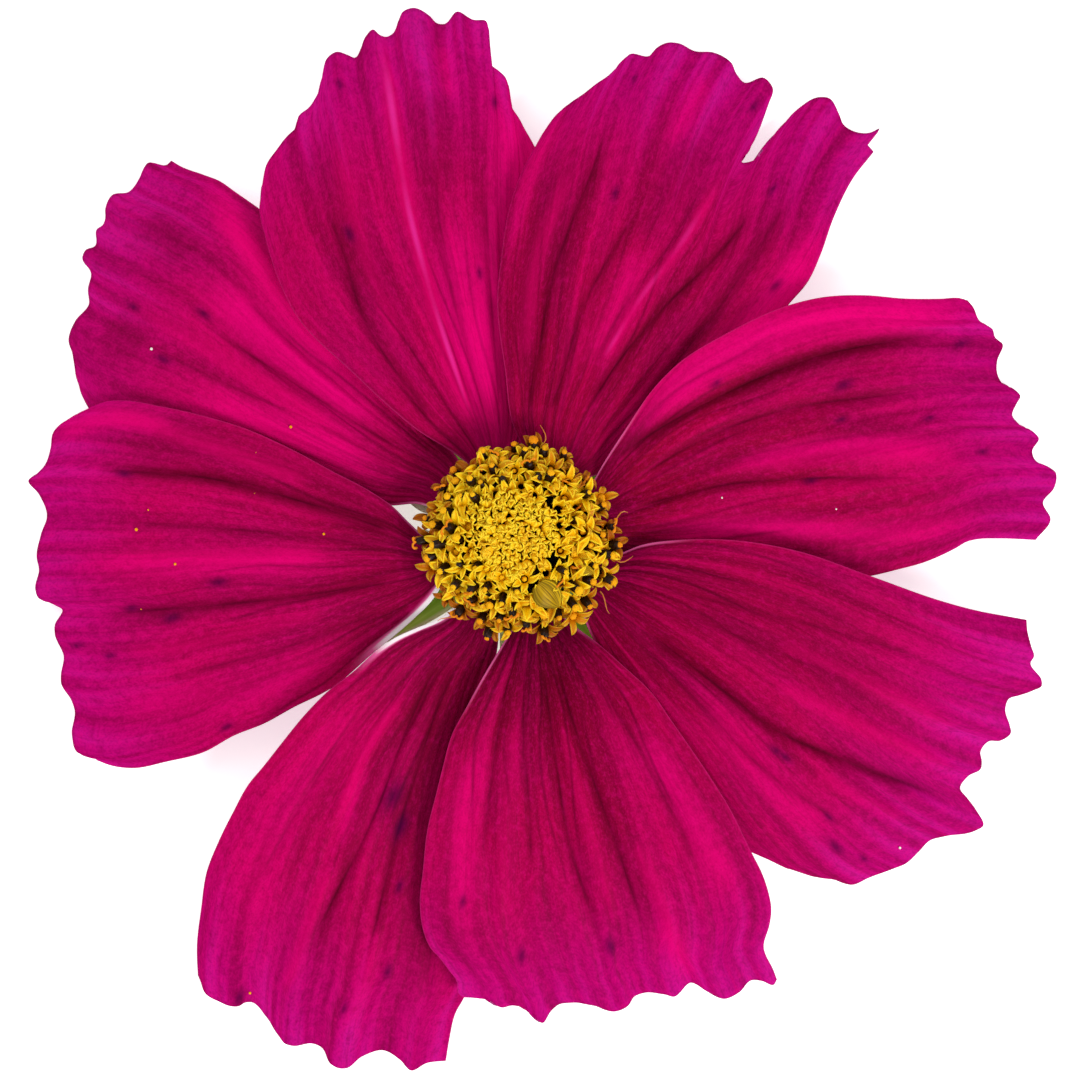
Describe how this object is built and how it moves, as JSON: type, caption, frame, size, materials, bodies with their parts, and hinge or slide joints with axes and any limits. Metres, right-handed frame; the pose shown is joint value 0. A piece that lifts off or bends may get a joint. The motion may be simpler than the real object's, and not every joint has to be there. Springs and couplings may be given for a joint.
{
  "type": "cosmos flower head",
  "caption": "Magenta cosmos flower head lying face up, with broad toothed petals, a yellow disc of small florets, bracts and a cut stub of stem.",
  "frame": {"origin": "centre of the petals' footprint, on the surface that the flower lies on", "axes": "+Z out of the flower's face; +X and +Y across it, +Y towards petal_top; the disc's axis is 1.5 mm to the -X side of the origin"},
  "size_m": [0.0687, 0.0709, 0.0109],
  "materials": {
    "petal": "matte, velvety, deep magenta with darker veins",
    "green_bract": "matte green with pale margins",
    "papery_bract": "matte, thin and papery",
    "stem": "satin green",
    "disc_floret": "matte yellow with dark anthers and pollen"
  },
  "bodies": {
    "root": {"petal_top": "petal", "petal_top_right": "petal", "petal_right": "petal", "petal_bottom_right": "petal", "petal_bottom": "petal", "petal_bottom_left": "petal", "petal_left": "petal", "petal_top_left": "petal", "outer_bract_1": "green_bract", "outer_bract_2": "green_bract", "outer_bract_3": "green_bract", "outer_bract_4": "green_bract", "outer_bract_5": "green_bract", "outer_bract_6": "green_bract", "outer_bract_7": "green_bract", "outer_bract_8": "green_bract", "inner_bract_1": "papery_bract", "inner_bract_2": "papery_bract", "inner_bract_3": "papery_bract", "inner_bract_4": "papery_bract", "inner_bract_5": "papery_bract", "inner_bract_6": "papery_bract", "inner_bract_7": "papery_bract", "inner_bract_8": "papery_bract", "disc_floret_01": "disc_floret", "disc_floret_02": "disc_floret", "disc_floret_03": "disc_floret", "disc_floret_04": "disc_floret", "disc_floret_05": "disc_floret", "disc_floret_06": "disc_floret", "disc_floret_07": "disc_floret", "disc_floret_08": "disc_floret", "disc_floret_09": "disc_floret", "disc_floret_10": "disc_floret", "disc_floret_11": "disc_floret", "disc_floret_12": "disc_floret", "disc_floret_13": "disc_floret", "disc_floret_14": "disc_floret", "disc_floret_15": "disc_floret", "disc_floret_16": "disc_floret", "disc_floret_17": "disc_floret", "disc_floret_18": "disc_floret", "disc_floret_19": "disc_floret", "disc_floret_20": "disc_floret", "disc_floret_21": "disc_floret", "disc_floret_22": "disc_floret", "disc_floret_23": "disc_floret", "disc_floret_24": "disc_floret", "disc_floret_25": "disc_floret", "disc_floret_26": "disc_floret", "disc_floret_27": "disc_floret", "disc_floret_28": "disc_floret", "disc_floret_29": "disc_floret", "disc_floret_30": "disc_floret", "disc_floret_31": "disc_floret", "disc_floret_32": "disc_floret", "disc_floret_33": "disc_floret", "disc_middle": "disc_floret", "stem_and_receptacle": "stem"}
  },
  "joints": []
}
